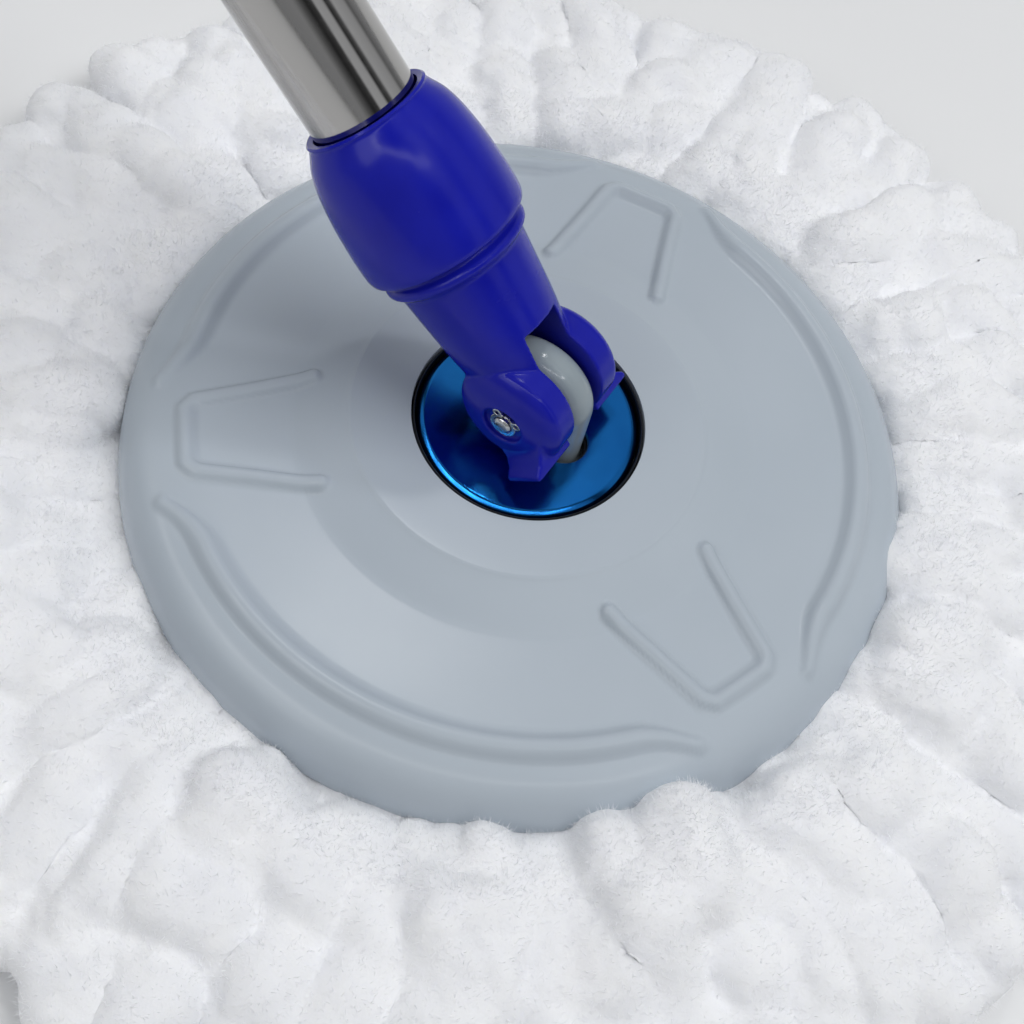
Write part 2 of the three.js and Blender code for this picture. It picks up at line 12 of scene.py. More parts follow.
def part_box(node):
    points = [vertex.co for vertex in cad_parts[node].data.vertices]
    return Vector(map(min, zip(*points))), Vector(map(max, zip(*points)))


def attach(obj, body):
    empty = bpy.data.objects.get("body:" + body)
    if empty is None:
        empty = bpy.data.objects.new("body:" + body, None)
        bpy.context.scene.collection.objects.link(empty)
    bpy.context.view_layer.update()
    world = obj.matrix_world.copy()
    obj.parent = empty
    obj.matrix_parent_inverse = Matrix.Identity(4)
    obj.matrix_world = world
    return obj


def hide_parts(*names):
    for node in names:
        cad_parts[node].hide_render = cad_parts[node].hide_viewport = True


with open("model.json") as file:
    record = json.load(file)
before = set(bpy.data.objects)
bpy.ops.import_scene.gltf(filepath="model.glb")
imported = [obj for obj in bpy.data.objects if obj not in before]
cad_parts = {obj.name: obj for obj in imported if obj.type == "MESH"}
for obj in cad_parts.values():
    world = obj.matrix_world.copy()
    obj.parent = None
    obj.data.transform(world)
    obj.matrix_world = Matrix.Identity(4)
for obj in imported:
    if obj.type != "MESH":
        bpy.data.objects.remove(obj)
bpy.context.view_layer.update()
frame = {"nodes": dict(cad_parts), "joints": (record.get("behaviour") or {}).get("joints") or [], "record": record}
MM = 0.001
SEED = 20

# ------------------------------------------------------------------ places taken from the frame
joints = {joint["name"]: joint for joint in frame["joints"]}
plate_low, plate_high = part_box("mop_plate")
disc_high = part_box("cover_disc")[1]
pad_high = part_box("mop_pad")[1]
PLATE_R = plate_high.x / MM
RIM_Z = plate_low.z / MM
PLATEAU_Z = plate_high.z / MM
DISC_R = disc_high.x / MM
DISC_Z = disc_high.z / MM
PAD_R = pad_high.x / MM
PIN = Vector(joints["pole_tilt"]["pos_m"])
POLE_AXIS = Vector(joints["pole_slide"]["axis"])
PIN_AXIS = Vector(joints["pole_tilt"]["axis"])
ACROSS = PIN_AXIS.cross(POLE_AXIS)

# Turns the pole's own millimetres (across, along the pin, along the pole) into the frame.
POLE = Matrix.Translation(PIN) @ Matrix((ACROSS, PIN_AXIS, POLE_AXIS)).transposed().to_4x4()
POLE = POLE @ Matrix.Scale(MM, 4)
HEAD = Matrix.Scale(MM, 4)
PIN_TO_POLE = Matrix.Rotation(-math.pi / 2, 4, "X")  # a body made about +Z turned to lie along +Y


# ------------------------------------------------------------------ mesh helpers
def add_object(name, data):
    """A new object in the scene that shows the given data."""
    item = bpy.data.objects.new(name, data)
    bpy.context.scene.collection.objects.link(item)
    return item


def make_piece(name, verts, faces, place, sharp_degrees=40):
    """A smooth-shaded object from points in millimetres, with sharp edges over the given angle."""
    mesh = bpy.data.meshes.new(name)
    mesh.from_pydata([place @ Vector(v) for v in verts], [], faces)
    mesh.validate()
    mesh.shade_smooth()
    mesh.set_sharp_from_angle(angle=math.radians(sharp_degrees))
    return add_object(name, mesh)


def soften(points, size, steps=4, closed=True):
    """The same section with each corner rounded by a small curve."""
    count = len(points)
    out = []
    for i, corner in enumerate(points):
        if not closed and i in (0, count - 1):
            out.append(tuple(corner))
            continue
        here = Vector(corner)
        before = Vector(points[i - 1]) - here
        after = Vector(points[(i + 1) % count]) - here
        start = here + before.normalized() * min(size, before.length * 0.45)
        end = here + after.normalized() * min(size, after.length * 0.45)
        for k in range(steps + 1):
            t = k / steps
            out.append(tuple(start * (1 - t) ** 2 + here * 2 * t * (1 - t) + end * t * t))
    return out


def smooth_line(points, steps):
    """A smooth curve through the given points."""
    ends = [points[0], *points, points[-1]]
    out = []
    for i in range(1, len(ends) - 2):
        a, b, c, d = (Vector(p) for p in ends[i - 1 : i + 3])
        for k in range(steps):
            t = k / steps
            curve = 2 * b + (c - a) * t + (2 * a - 5 * b + 4 * c - d) * t * t
            curve += (3 * b - a - 3 * c + d) * t**3
            out.append(tuple(curve * 0.5))
    return [*out, tuple(points[-1])]


def turned_mesh(section, sides):
    """Points and faces of a body turned about +Z from [radius, height] points."""
    on_axis = section[0][0] == 0 and section[-1][0] == 0
    if signed_area(section) < 0:
        section = section[::-1]
    ring = section[1:-1] if on_axis else section
    verts, faces = [], []
    for r, z in ring:
        for k in range(sides):
            angle = 2 * math.pi * k / sides
            verts.append((r * math.cos(angle), r * math.sin(angle), z))
    rows = len(ring)
    for i in range(rows - 1 if on_axis else rows):
        low, high = i * sides, ((i + 1) % rows) * sides
        for k in range(sides):
            n = (k + 1) % sides
            faces.append((low + k, low + n, high + n, high + k))
    if on_axis:
        first, last = len(verts), len(verts) + 1
        verts += [(0, 0, section[0][1]), (0, 0, section[-1][1])]
        top = (rows - 1) * sides
        for k in range(sides):
            n = (k + 1) % sides
            faces.append((first, n, k))
            faces.append((last, top + k, top + n))
    return verts, faces


def signed_area(points):
    """Area of an outline, negative where it runs clockwise."""
    pairs = zip(points, [*points[1:], points[0]])
    return sum(a[0] * b[1] - b[0] * a[1] for a, b in pairs) / 2


def turned(name, section, place, sides, sharp_degrees=40):
    """A piece turned about its own +Z from [radius, height] points."""
    verts, faces = turned_mesh(section, sides)
    return make_piece(name, verts, faces, place, sharp_degrees)


def block_mesh(low, high):
    """A box between two corners, for cutting and joining."""
    xs, ys, zs = zip(low, high)
    verts = [(x, y, z) for x in xs for y in ys for z in zs]
    faces = [(0, 1, 3, 2), (4, 6, 7, 5), (0, 4, 5, 1), (2, 3, 7, 6), (0, 2, 6, 4), (1, 5, 7, 3)]
    return verts, faces


def moved(parts, place):
    """The same body after a transform."""
    verts, faces = parts
    return [tuple(place @ Vector(v)) for v in verts], faces


def modified(piece, *settings):
    """Applies modifiers, each given as (type, {setting: value}), and keeps the result as the mesh."""
    for kind, values in settings:
        modifier = piece.modifiers.new(kind.lower(), kind)
        for key, value in values.items():
            setattr(modifier, key, value)
    bpy.context.view_layer.update()
    seen = piece.evaluated_get(bpy.context.evaluated_depsgraph_get())
    mesh = bpy.data.meshes.new_from_object(seen)
    piece.modifiers.clear()
    piece.data = mesh
    return piece


def moulded(name, adds, cuts, place, voxel, smooth):
    """One rounded moulding: overlapping bodies joined, others cut away, edges softened."""
    body = add_object(name, joined_mesh(name, adds))
    modified(body, ("REMESH", {"mode": "VOXEL", "voxel_size": voxel, "adaptivity": 0.0}))
    for i, cutter_parts in enumerate(cuts):
        cutter = add_object(f"{name}_cut_{i}", joined_mesh(name, [cutter_parts]))
        modified(body, ("BOOLEAN", {"operation": "DIFFERENCE", "object": cutter, "solver": "EXACT"}))
        bpy.data.objects.remove(cutter)
    modified(
        body,
        ("REMESH", {"mode": "VOXEL", "voxel_size": voxel, "adaptivity": 0.0}),
        ("SMOOTH", {"factor": 0.5, "iterations": smooth}),
    )
    body.data.transform(place)
    body.data.shade_smooth()
    return body


def joined_mesh(name, parts):
    """One mesh of several bodies, each given as its points and faces."""
    verts, faces = [], []
    for part_verts, part_faces in parts:
        start = len(verts)
        verts += part_verts
        faces += [tuple(i + start for i in face) for face in part_faces]
    mesh = bpy.data.meshes.new(name)
    mesh.from_pydata(verts, [], faces)
    return mesh


def finish_piece(piece, material, body, slot, *nodes):
    """Gives a piece its material and the body it moves with, and hides the CAD nodes it stands for."""
    piece.data.materials.clear()
    piece.data.materials.append(material)
    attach(piece, body)
    if nodes:
        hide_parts(*nodes)
    return piece


# ------------------------------------------------------------------ material helpers
def principled(name, colour, roughness, metallic=0.0, **sockets):
    """A new material; sockets name the shader's inputs with _ for each space."""
    material = bpy.data.materials.new(name)
    material.use_nodes = True
    shader = material.node_tree.nodes["Principled BSDF"]
    shader.inputs["Base Color"].default_value = (*colour, 1)
    shader.inputs["Roughness"].default_value = roughness
    shader.inputs["Metallic"].default_value = metallic
    for key, value in sockets.items():
        shader.inputs[key.replace("_", " ")].default_value = value
    return material


def noise_node(material, scale, detail):
    """Noise over the object's own coordinates; scale counts features per metre."""
    tree = material.node_tree
    coordinates = tree.nodes.new("ShaderNodeTexCoord")
    texture = tree.nodes.new("ShaderNodeTexNoise")
    texture.inputs["Scale"].default_value = scale
    texture.inputs["Detail"].default_value = detail
    tree.links.new(coordinates.outputs["Object"], texture.inputs["Vector"])
    return texture


def vary(material, socket, texture, low, high):
    """Drives a shader socket between two values or colours by a noise texture."""
    tree = material.node_tree
    ramp = tree.nodes.new("ShaderNodeValToRGB")
    stops = ((0.25, low), (0.75, high))
    for element, (position, value) in zip(ramp.color_ramp.elements, stops):
        element.position = position
        colour = value if isinstance(value, tuple) else (value, value, value)
        element.color = (*colour, 1)
    tree.links.new(texture.outputs["Fac"], ramp.inputs["Fac"])
    shader = tree.nodes["Principled BSDF"]
    tree.links.new(ramp.outputs["Color"], shader.inputs[socket])


def add_bump(material, layers):
    """Stacks bumps, each (noise texture, height in millimetres)."""
    tree = material.node_tree
    normal = None
    for texture, height in layers:
        bump = tree.nodes.new("ShaderNodeBump")
        bump.inputs["Strength"].default_value = 1
        bump.inputs["Distance"].default_value = height * MM
        tree.links.new(texture.outputs["Fac"], bump.inputs["Height"])
        if normal:
            tree.links.new(normal, bump.inputs["Normal"])
        normal = bump.outputs["Normal"]
    tree.links.new(normal, tree.nodes["Principled BSDF"].inputs["Normal"])


def plate_plastic():
    material = principled("plate_plastic", (0.39, 0.45, 0.5), 0.24, Specular_IOR_Level=0.25)
    vary(material, "Base Color", noise_node(material, 28, 5), (0.43, 0.485, 0.54), (0.455, 0.51, 0.565))
    vary(material, "Roughness", noise_node(material, 60, 3), 0.22, 0.26)
    add_bump(material, [(noise_node(material, 1400, 2), 0.004), (noise_node(material, 40, 2), 0.03)])
    return material


def blue_plastic():
    material = principled("blue_plastic", (0.008, 0.007, 0.34), 0.22, Specular_IOR_Level=0.22)
    vary(material, "Base Color", noise_node(material, 70, 4), (0.006, 0.008, 0.3), (0.008, 0.012, 0.37))
    vary(material, "Roughness", noise_node(material, 160, 5), 0.17, 0.28)
    add_bump(material, [(noise_node(material, 90, 2), 0.06), (noise_node(material, 900, 2), 0.005)])
    return material


def anodised_blue():
    material = principled("anodised_blue", (0.006, 0.09, 0.38), 0.2, 1.0)
    vary(material, "Base Color", noise_node(material, 45, 4), (0.008, 0.12, 0.42), (0.02, 0.21, 0.6))
    vary(material, "Roughness", noise_node(material, 240, 6), 0.14, 0.22)
    add_bump(material, [(noise_node(material, 120, 3), 0.012), (noise_node(material, 1500, 2), 0.003)])
    return material


def knuckle_plastic():
    material = principled("knuckle_plastic", (0.3, 0.345, 0.35), 0.16, Subsurface_Weight=0.15)
    shader = material.node_tree.nodes["Principled BSDF"]
    shader.inputs["Subsurface Radius"].default_value = (0.003, 0.003, 0.003)
    vary(material, "Base Color", noise_node(material, 80, 4), (0.275, 0.325, 0.355), (0.31, 0.36, 0.39))
    vary(material, "Roughness", noise_node(material, 200, 5), 0.13, 0.2)
    add_bump(material, [(noise_node(material, 110, 2), 0.03)])
    return material


def black_plastic():
    material = principled("black_plastic", (0.012, 0.013, 0.016), 0.4)
    vary(material, "Roughness", noise_node(material, 300, 4), 0.32, 0.5)
    add_bump(material, [(noise_node(material, 800, 3), 0.01)])
    return material


def stainless():
    material = principled("stainless_tube", (0.44, 0.43, 0.42), 0.1, 1.0)
    vary(material, "Roughness", noise_node(material, 500, 4), 0.06, 0.13)
    add_bump(material, [(noise_node(material, 160, 2), 0.0015)])
    return material


def bright_steel():
    material = principled("steel", (0.6, 0.61, 0.63), 0.2, 1.0)
    vary(material, "Roughness", noise_node(material, 700, 4), 0.12, 0.3)
    add_bump(material, [(noise_node(material, 500, 3), 0.01)])
    return material


def grip_plastic():
    material = principled("grip_plastic", (0.27, 0.31, 0.34), 0.55)
    vary(material, "Base Color", noise_node(material, 60, 4), (0.25, 0.29, 0.32), (0.29, 0.33, 0.36))
    vary(material, "Roughness", noise_node(material, 200, 4), 0.48, 0.62)
    add_bump(material, [(noise_node(material, 1200, 2), 0.05)])
    return material


def ring_plastic():
    material = principled("ring_plastic", (0.74, 0.77, 0.79), 0.42)
    vary(material, "Base Color", noise_node(material, 50, 4), (0.71, 0.74, 0.77), (0.76, 0.79, 0.8))
    vary(material, "Roughness", noise_node(material, 200, 4), 0.36, 0.5)
    add_bump(material, [(noise_node(material, 900, 2), 0.02)])
    return material


def microfibre():
    soft = {"Sheen_Weight": 0.25, "Sheen_Roughness": 0.5, "Subsurface_Weight": 0.35}
    material = principled("microfibre", (0.9, 0.905, 0.93), 0.9, **soft)
    shader = material.node_tree.nodes["Principled BSDF"]
    shader.inputs["Subsurface Radius"].default_value = (0.006, 0.006, 0.0065)
    vary(material, "Base Color", noise_node(material, 90, 5), (0.87, 0.88, 0.91), (0.93, 0.935, 0.955))
    add_bump(material, [(noise_node(material, 220, 4), 0.35), (noise_node(material, 1500, 3), 0.1)])
    return material


PLATE_PLASTIC = plate_plastic()
BLUE_PLASTIC = blue_plastic()
ANODISED_BLUE = anodised_blue()
KNUCKLE_PLASTIC = knuckle_plastic()
BLACK_PLASTIC = black_plastic()
STAINLESS = stainless()
STEEL = bright_steel()
GRIP_PLASTIC = grip_plastic()
RING_PLASTIC = ring_plastic()
MICROFIBRE = microfibre()
SLOT_MATERIALS = {
    "plate_plastic": PLATE_PLASTIC,
    "blue_plastic": BLUE_PLASTIC,
    "anodised_blue": ANODISED_BLUE,
    "knuckle_plastic": KNUCKLE_PLASTIC,
    "black_plastic": BLACK_PLASTIC,
    "stainless_tube": STAINLESS,
    "steel": STEEL,
    "grip_plastic": GRIP_PLASTIC,
    "ring_plastic": RING_PLASTIC,
    "microfibre": MICROFIBRE,
}


def dress_cad_nodes():
    """Gives every CAD node the finish of its slot; the detailed pieces hide some of them later."""
    for entry in frame["record"]["subparts"]:
        node = frame["nodes"][entry["node"]]
        material = SLOT_MATERIALS[entry["material_slot"]]
        if not node.material_slots:
            node.data.materials.append(material)
        for slot in node.material_slots:
            slot.material = material


# ------------------------------------------------------------------ plate
HUB_R = 24.9  # hole in the middle of the plate
PLATE_WALL = 2.6
PLATEAU_STEP = 4  # the plate's middle stands this much above its flat outer field
LOOP_HEIGHT, LOOP_HALF = 1.8, 2.2  # ribs of the three open loops: height and half width
ARC_HEIGHT, ARC_HALF = 2.4, 3.1  # the three arc ribs near the edge: height and half width
ARC_R = 72.7
ARC_SPAN = math.radians(49)  # half an arc's length
FIRST_LOOP = math.radians(-19.5)  # middle of the first loop and of the first arc
FIRST_ARC = math.radians(40.5)


def plate_top_section():
    """Upper surface from the hub hole to the rim's lower edge, in [radius, height]."""
    flat = PLATEAU_Z - PLATEAU_STEP
    line = [
        (HUB_R, PLATEAU_Z - 0.35),
        (HUB_R + 0.15, PLATEAU_Z - 0.1),
        (HUB_R + 0.5, PLATEAU_Z),
        (30, PLATEAU_Z),
        (36.6, PLATEAU_Z),
        (37.9, PLATEAU_Z - 0.1),
        (39.2, PLATEAU_Z - 0.6),
        (44, flat + 2),
        (48, flat + 0.75),
        (49.6, flat + 0.4),
        (51.2, flat + 0.3),
        (55, flat + 0.22),
        (62, flat + 0.12),
        (70, flat),
        (75, flat - 0.5),
        (79.2, flat - 1.8),
        (82.2, flat - 4),
        (84.3, flat - 7.4),
        (85.3, flat - 11),
        (PLATE_R, RIM_Z + 0.8),
        (PLATE_R - 0.1, RIM_Z + 0.2),
        (PLATE_R - 0.6, RIM_Z),
    ]
    return smooth_line(line, 7)


def distance_to_line(points, start, end):
    """Each point's distance from a straight stretch."""
    along = end - start
    t = np.clip(((points - start) @ along) / (along @ along), 0, 1)
    return np.linalg.norm(points - (start + t[:, None] * along), axis=1)


def soft_ridge(distance, half, height):
    """A rounded rib's height over the surface at a distance from its middle line."""
    t = np.clip(distance / half, 0, 1)
    return height * (1 - t**2.4) ** 1.3


def polar(r, angle):
    """The XY point at a radius and an angle."""
    return np.array((r * math.cos(angle), r * math.sin(angle)))


def loop_rib_height(points):
    """Height of the open loops' ribs over each point."""
    height = np.zeros(len(points))
    for k in range(3):
        middle = FIRST_LOOP + k * 2 * math.pi / 3
        side = ((46.5, 16.3), (59, 10.2), (69.8, 7), (71.6, 5.2))
        corners = [*side, *((r, -degrees) for r, degrees in reversed(side))]
        route = [polar(r, middle + math.radians(degrees)) for r, degrees in corners]
        distance = np.min([distance_to_line(points, a, b) for a, b in zip(route, route[1:])], axis=0)
        height = np.maximum(height, soft_ridge(distance, LOOP_HALF, LOOP_HEIGHT))
    return height


def arc_rib_height(points):
    """Height of the arc ribs over each point; their ends thin out and turn outwards."""
    radius = np.linalg.norm(points, axis=1)
    angle = np.arctan2(points[:, 1], points[:, 0])
    height = np.zeros(len(points))
    for k in range(3):
        middle = FIRST_ARC + k * 2 * math.pi / 3
        offset = (angle - middle + math.pi) % (2 * math.pi) - math.pi
        share = np.abs(offset) / ARC_SPAN
        tail = np.clip((share - 0.8) / 0.2, 0, 1)
        past_end = np.clip(share - 1, 0, None) * ARC_SPAN * radius
        distance = np.hypot(radius - (ARC_R + 5 * tail**2), past_end)
        half = ARC_HALF * (1 - 0.35 * tail)
        ridge = soft_ridge(distance / half, 1, ARC_HEIGHT)
        height = np.maximum(height, ridge * (1 - 0.55 * tail))
    return height


def build_plate():
    """Shell turned about the vertical axis, with the ribs raised on its upper side."""
    sides = 600
    top = plate_top_section()
    inner_floor = PLATEAU_Z - PLATEAU_STEP - PLATE_WALL
    under = [
        (PLATE_R - PLATE_WALL, RIM_Z),
        (82.3, 20.5),
        (80.4, 24.2),
        (76, inner_floor - 0.7),
        (70, inner_floor - 0.2),
        (50.5, inner_floor),
        (47.5, inner_floor + 0.6),
        (38.5, PLATEAU_Z - PLATE_WALL),
        (31, PLATEAU_Z - PLATE_WALL),
        (31, 26),
        (HUB_R, 26),
    ]
    verts, faces = turned_mesh([*top, *under], sides)
    points = np.array(verts)
    radius = np.linalg.norm(points[:, :2], axis=1)
    rows = len(top) + len(under)
    is_top = np.repeat(np.arange(rows), sides) < len(top)
    if signed_area([*top, *under]) < 0:
        is_top = is_top[::-1]
    field = is_top & (radius > 44) & (radius < 82)
    ribs = np.maximum(loop_rib_height(points[field, :2]), arc_rib_height(points[field, :2]))
    points[field, 2] += ribs
    piece = make_piece("plate_shell", [tuple(p) for p in points], faces, HEAD, 60)
    return finish_piece(piece, PLATE_PLASTIC, "head", "plate_plastic", "mop_plate")


# ------------------------------------------------------------------ middle of the head
PIN_HOLE_R = 2.35  # hole for the hinge pin in the knuckle and the fork
LUG_DROP = 2.2  # middle of the lug's round top below the hinge pin


def slot_distance(angle, half, r):
    """How far from the middle a ray at this angle meets the slot's outline."""
    c, s = abs(math.cos(angle)), abs(math.sin(angle))
    straight = half - r
    if s > 1e-9 and r * c / s <= straight:
        return r / s
    return straight * c + math.sqrt(max(0.0, r * r - (straight * s) ** 2))


def build_disc():
    """Anodised cap with its slot: rings of points blend from the slot's outline to the circle."""
    sides = 256
    slot_half, slot_r = 14, 5.5
    skirt = -4.3  # lower edge of the rim, from the disc's top
    rings = []
    angles = [2 * math.pi * (k + 0.5) / sides for k in range(sides)]
    slot = [slot_distance(a, slot_half, slot_r) for a in angles]
    for inset, drop in ((0.0, -1.0), (0.0, -0.3), (0.25, 0.0)):
        rings.append([(d + inset, DISC_Z + drop) for d in slot])
    rim = soften([(2.1, 0), (1.5, 0), (0.45, -0.66), (0, -1.6), (0, skirt)], 0.35, 5, False)
    for share in (0.15, 0.35, 0.6, 0.85):
        rings.append([(d + share * (DISC_R - rim[0][0] - d), DISC_Z) for d in slot])
    for inset, drop in (*rim, (0.8, skirt), (0.8, -2.4)):
        rings.append([(DISC_R - inset, DISC_Z + drop)] * sides)
    verts = []
    for ring in rings:
        verts += [(d * math.cos(a), d * math.sin(a), z) for (d, z), a in zip(ring, angles)]
    faces = []
    rows = len(rings)
    for i in range(rows):
        low, high = i * sides, ((i + 1) % rows) * sides
        for k in range(sides):
            n = (k + 1) % sides
            faces.append((low + k, high + k, high + n, low + n))
    piece = make_piece("anodised_disc", verts, faces, HEAD, 50)
    return finish_piece(piece, ANODISED_BLUE, "swivel", "anodised_blue", "cover_disc")


def build_liner():
    """Black ring under the disc, whose lip stands between the disc and the plate."""
    section = [
        (17, 26.4),
        (24.5, 26.4),
        (24.5, 33.3),
        (24.3, 33.7),
        (24.1, 33.4),
        (24.1, 27.9),
        (17, 27.9),
    ]
    piece = turned("liner_moulding", soften(section, 0.1), HEAD, 128)
    return finish_piece(piece, BLACK_PLASTIC, "head", "black_plastic", "liner_ring")


def along_pin(parts):
    """Turns a body made about +Z so that it lies along the hinge pin."""
    return moved(parts, PIN_TO_POLE)


def bar(r, low, high, sides=48):
    """A round bar about +Z, for cutting and joining."""
    return turned_mesh([(0, low), (r, low), (r, high), (0, high)], sides)


def layered_mesh(layers):
    """A closed body through outlines of equal length, each given as a list of 3-D points."""
    count = len(layers[0])
    verts = [point for layer in layers for point in layer]
    faces = [tuple(range(count))[::-1], tuple(range(len(verts) - count, len(verts)))]
    for i in range(len(layers) - 1):
        for k in range(count):
            n = (k + 1) % count
            faces.append((i * count + k, i * count + n, (i + 1) * count + n, (i + 1) * count + k))
    return verts, faces


def lug_mesh(r, thickness, rounding, low):
    """The knuckle's upright lug: a round-topped plate with a rounded rim."""
    middle = PIN.z / MM - LUG_DROP
    half = thickness / 2 - rounding
    bends = [math.pi / 2 * k / 6 for k in range(7)]
    levels = [(-half - rounding * math.cos(b), rounding * (1 - math.sin(b))) for b in bends]
    levels += [(-y, inset) for y, inset in reversed(levels)]
    layers = []
    for y, inset in levels:
        reach = r - inset
        arc = [math.pi * k / 48 for k in range(49)]
        top = [(reach * math.cos(a), y, middle + reach * math.sin(a)) for a in arc]
        layers.append([(reach, y, low), *top, (-reach, y, low)][::-1])
    return layered_mesh(layers)


def build_knuckle():
    """Upright lug on a round flange, with the spigot that goes down into the bearing."""
    base = turned_mesh(
        [
            (0, 15.8),
            (3.7, 15.8),
            (3.7, 23.2),
            (6.2, 23.2),
            (6.2, 26),
            (16.4, 26),
            (16.4, 27.9),
            (0, 27.9),
        ],
        96,
    )
    root = block_mesh((-11.4, -4.2, 27), (11.4, 4.2, 31))
    pin_hole = moved(along_pin(bar(PIN_HOLE_R, -20, 20)), Matrix.Translation((0, 0, PIN.z / MM)))
    adds = [lug_mesh(12.6, 9.2, 4.2, 27), root, base]
    piece = moulded("knuckle_moulding", adds, [pin_hole, bar(1.8, 14, 25)], HEAD, 0.3, 6)
    return finish_piece(piece, KNUCKLE_PLASTIC, "swivel", "knuckle_plastic", "knuckle")


# ------------------------------------------------------------------ fork and its hardware
LOBE_R = 12
LOBE_IN, LOBE_CROWN, LOBE_OUT = 5.2, 9.8, 14  # inner face, edge and top of the crown, from the middle
RECESS_R, RECESS_FLOOR = 4.4, 12.4  # recess round the hinge pin's end


def lobe_section():
    """Half section of a lobe about the hinge pin: flat inside, domed outside."""
    crown = []
    for k in range(29):
        r = LOBE_R * math.cos(math.pi / 2 * k / 28)
        bulge = (1 - min(1, r / LOBE_R) ** 2.3) ** 0.5
        crown.append((r if k < 28 else 0, LOBE_CROWN + (LOBE_OUT - LOBE_CROWN) * bulge))
    return [(0, LOBE_IN), (LOBE_R, LOBE_IN), *crown]


def foot_mesh():
    """Wedge below a lobe, narrowing downwards and flaring out over the disc."""
    rows = (
        (-12.6, 4.8, 16.6),
        (-11.4, 4.9, 16.5),
        (-10.2, 5, 14.9),
        (-8.4, 5.4, 13.6),
        (-6, 6.5, 12.9),
        (-3, 8, 12.6),
    )
    layers = []
    for s, half, out in rows:
        tip = half * 0.94  # the wedge is a little narrower at its outer face
        layers.append([(-half, LOBE_IN, s), (half, LOBE_IN, s), (tip, out, s), (-tip, out, s)])
    return layered_mesh(layers)


def build_fork():
    """Socket, two domed lobes and two feet in one moulding."""
    socket = turned_mesh(
        [
            (0, 3),
            (10.9, 3),
            (11.3, 9),
            (12.1, 14),
            (12.6, 18),
            (13.9, 31.6),
            (14.6, 32.2),
            (15.6, 33),
            (15.7, 33.9),
            (15.1, 34.7),
            (14.4, 35),
            (14.4, 51),
            (0, 51),
        ],
        96,
    )
    half_turn = Matrix.Rotation(math.pi, 4, "Z")
    sides = [along_pin(turned_mesh(lobe_section(), 96)), foot_mesh()]
    adds = [socket, *sides, *(moved(parts, half_turn) for parts in sides)]
    between = block_mesh((-30, -LOBE_IN, -45), (30, LOBE_IN, 15))
    hollow = bar(7.5, 14.9, 38)
    seat = bar(11.4, 41, 60, 96)
    pin_hole = along_pin(bar(PIN_HOLE_R, -20, 20))
    recess = along_pin(bar(RECESS_R, RECESS_FLOOR, 20))
    cuts = [between, hollow, seat, pin_hole, recess, moved(recess, half_turn)]
    piece = moulded("fork_moulding", adds, cuts, POLE, 0.3, 5)
    return finish_piece(piece, BLUE_PLASTIC, "handle", "blue_plastic", "fork")


def build_sleeve():
    """Barrel-shaped sleeve, screwed onto the fork's socket round the tube."""
    outer = [
        (17.1, 36.9),
        (17.45, 38.4),
        (17.5, 43),
        (17.1, 50),
        (16.3, 56),
        (15.1, 60.6),
        (13.4, 63.9),
        (12.9, 65),
        (13, 65.6),
    ]
    bore = [(12.6, 66), (11.4, 65.8), (11.4, 52), (14.8, 52)]
    section = [(14.8, 36.6), (16.6, 36.6), *smooth_line(outer, 6), *bore]
    piece = turned("sleeve_moulding", section, POLE, 128, 50)
    return finish_piece(piece, BLUE_PLASTIC, "handle", "blue_plastic", "sleeve")


def build_hinge_pin():
    """Pin with a flat head at one end and a groove for the circlip at the other."""
    section = [
        (0, -14.1),
        (1.5, -14.1),
        (2, -13.65),
        (2, -13.45),
        (1.6, -13.45),
        (1.6, -12.7),
        (2, -12.7),
        (2, 12.7),
        (3.6, 12.7),
        (3.6, 13.6),
        (2.8, 14.3),
        (0, 14.4),
    ]
    section = soften(section, 0.12, 3, False)
    piece = turned("hinge_pin_turned", section, POLE @ PIN_TO_POLE, 64)
    return finish_piece(piece, STEEL, "handle", "steel", "hinge_pin")


def build_circlip():
    """Flat spring ring with a gap and two pierced ears."""
    low, high = -RECESS_FLOOR - 1, -RECESS_FLOOR - 0.3
    middle = math.radians(-32)
    ears = [polar(3.3, middle + math.radians(turn)) for turn in (-46, 46)]
    ear_places = [Matrix.Translation((x, y, 0)) for x, y in ears]
    gap = moved(block_mesh((1.2, -1, low - 1), (4.6, 1, high + 1)), Matrix.Rotation(middle, 4, "Z"))
    adds = [bar(3, low, high, 64), *(moved(bar(1.05, low, high), place) for place in ear_places)]
    holes = [moved(bar(0.48, low - 1, high + 1), place) for place in ear_places]
    cuts = [bar(2.1, low - 1, high + 1, 64), gap, *holes]
    piece = moulded("circlip_spring", adds, cuts, POLE @ PIN_TO_POLE, 0.07, 2)
    return finish_piece(piece, STEEL, "handle", "steel", "circlip")


def tube(name, node, body, radius, wall, low, high):
    """A stainless tube along the pole."""
    inside = radius - wall
    section = soften([(inside, low), (radius, low), (radius, high), (inside, high)], 0.12, 2)
    piece = turned(name, section, POLE, 128, 50)
    return finish_piece(piece, STAINLESS, body, "stainless_tube", node)


# ------------------------------------------------------------------ collar, lever, grip and cap
# places along the pole, from the hinge pin
COLLAR_LOW, COLLAR_TOP = 444, 520
LEVER_S, LEVER_X = 508, 18.2  # the lever's pin, along the pole and out from its axis
GRIP_LOW, GRIP_TOP = 715, 836
EYE_S = 857  # middle of the hanging eye


def across_pole(outline, half):
    """A plate with an outline across and along the pole, and its thickness along the pin."""
    if signed_area(outline) < 0:
        outline = outline[::-1]
    return layered_mesh([[(x, y, s) for x, s in outline] for y in (half, -half)])


def arc_points(x, s, r, start, end, steps=14):
    """Points on an arc about (x, s), between two angles in degrees."""
    angles = [math.radians(start + (end - start) * k / steps) for k in range(steps + 1)]
    return [(x + r * math.cos(a), s + r * math.sin(a)) for a in angles]


